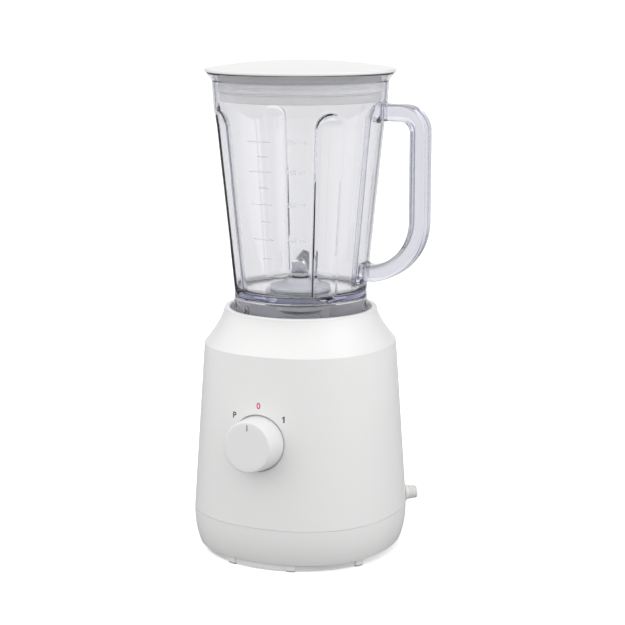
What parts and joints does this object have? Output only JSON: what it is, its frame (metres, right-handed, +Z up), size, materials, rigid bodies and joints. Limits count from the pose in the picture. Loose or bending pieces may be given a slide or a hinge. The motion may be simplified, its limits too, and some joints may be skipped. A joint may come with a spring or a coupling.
{
  "type": "countertop blender",
  "caption": "Countertop blender with a rounded motor base, a dial, a clear fluted jug with side handle and blade unit, and a domed push-in lid.",
  "frame": {"origin": "centre of the motor base on the counter, on the motor axis, at the underside of the rubber feet", "axes": "+Z up along the motor and jug axis, dial facing -Y, jug handle along +X"},
  "size_m": [0.1856, 0.1782, 0.3799],
  "materials": {
    "housing": "white ABS, satin gloss",
    "lid": "white polypropylene, satin",
    "jug": "clear SAN plastic with a faint violet tint",
    "knob": "white ABS, satin",
    "pointer": "dark grey moulded line",
    "dark_plastic": "black moulded nylon",
    "grey_plastic": "grey moulded acetal",
    "rubber": "soft black rubber",
    "white_rubber": "soft white PVC",
    "silicone": "translucent silicone",
    "steel": "stainless steel",
    "blade_steel": "polished stainless blade steel",
    "screw_steel": "zinc-plated steel",
    "laminations": "stacked electrical steel sheet",
    "copper": "enamelled copper winding",
    "brass": "sheet brass",
    "bronze": "sintered bronze",
    "zinc_cast": "die-cast aluminium, as cast",
    "carbon": "pressed carbon"
  },
  "bodies": {
    "base": {"motor_housing": "housing", "bottom_cover": "housing", "rubber_feet": "rubber", "cover_screws": "screw_steel", "cord_gland": "white_rubber", "cord_clamp": "dark_plastic", "clamp_screws": "screw_steel", "rotary_switch": "dark_plastic", "switch_nut": "steel", "switch_terminals": "brass", "field_core": "laminations", "field_coils": "copper", "upper_bracket": "zinc_cast", "lower_bracket": "zinc_cast", "upper_bush": "bronze", "lower_bush": "bronze", "motor_bolts": "screw_steel", "motor_nuts": "screw_steel", "motor_dampers": "rubber", "mount_screws": "screw_steel", "brush_holders": "brass", "carbon_brushes": "carbon", "brush_springs": "steel", "splash_seal": "rubber", "noise_capacitor": "dark_plastic"},
    "rotor": {"motor_shaft": "steel", "armature_core": "laminations", "armature_windings": "copper", "commutator": "copper", "cooling_fan": "dark_plastic", "drive_coupling": "dark_plastic"},
    "knob": {"control_knob": "knob", "knob_pointer": "pointer", "switch_shaft": "steel"},
    "jug": {"jug": "jug", "jug_handle": "jug", "blade_housing": "grey_plastic", "blade_gasket": "silicone", "retaining_nut": "dark_plastic", "blade_bushes": "bronze", "blade_seal": "rubber"},
    "blades": {"blade_shaft": "steel", "lower_blade": "blade_steel", "upper_blade": "blade_steel", "blade_washer": "steel", "blade_nut": "steel", "driven_coupling": "dark_plastic"},
    "lid": {"lid": "lid", "lid_gasket": "silicone"}
  },
  "joints": [
    {"name": "rotor_spin", "type": "hinge", "parent": "base", "child": "rotor", "pos_m": [0, 0, 0.11], "axis": [0, 0, 1], "continuous": true},
    {"name": "blade_spin", "type": "hinge", "parent": "jug", "child": "blades", "pos_m": [0, 0, 0.2], "axis": [0, 0, 1], "continuous": true},
    {"name": "knob_turn", "type": "hinge", "parent": "base", "child": "knob", "pos_m": [0, -0.07698, 0.099], "axis": [0, -0.9977, 0.068], "range_deg": [-45, 45]},
    {"name": "jug_lift", "type": "slide", "parent": "base", "child": "jug", "axis": [0, 0, 1], "range_m": [0, 0.06]},
    {"name": "lid_lift", "type": "slide", "parent": "jug", "child": "lid", "axis": [0, 0, 1], "range_m": [0, 0.06]}
  ],
  "couplings": [
    {"joint": "blade_spin", "follows": "rotor_spin", "ratio": 1}
  ]
}
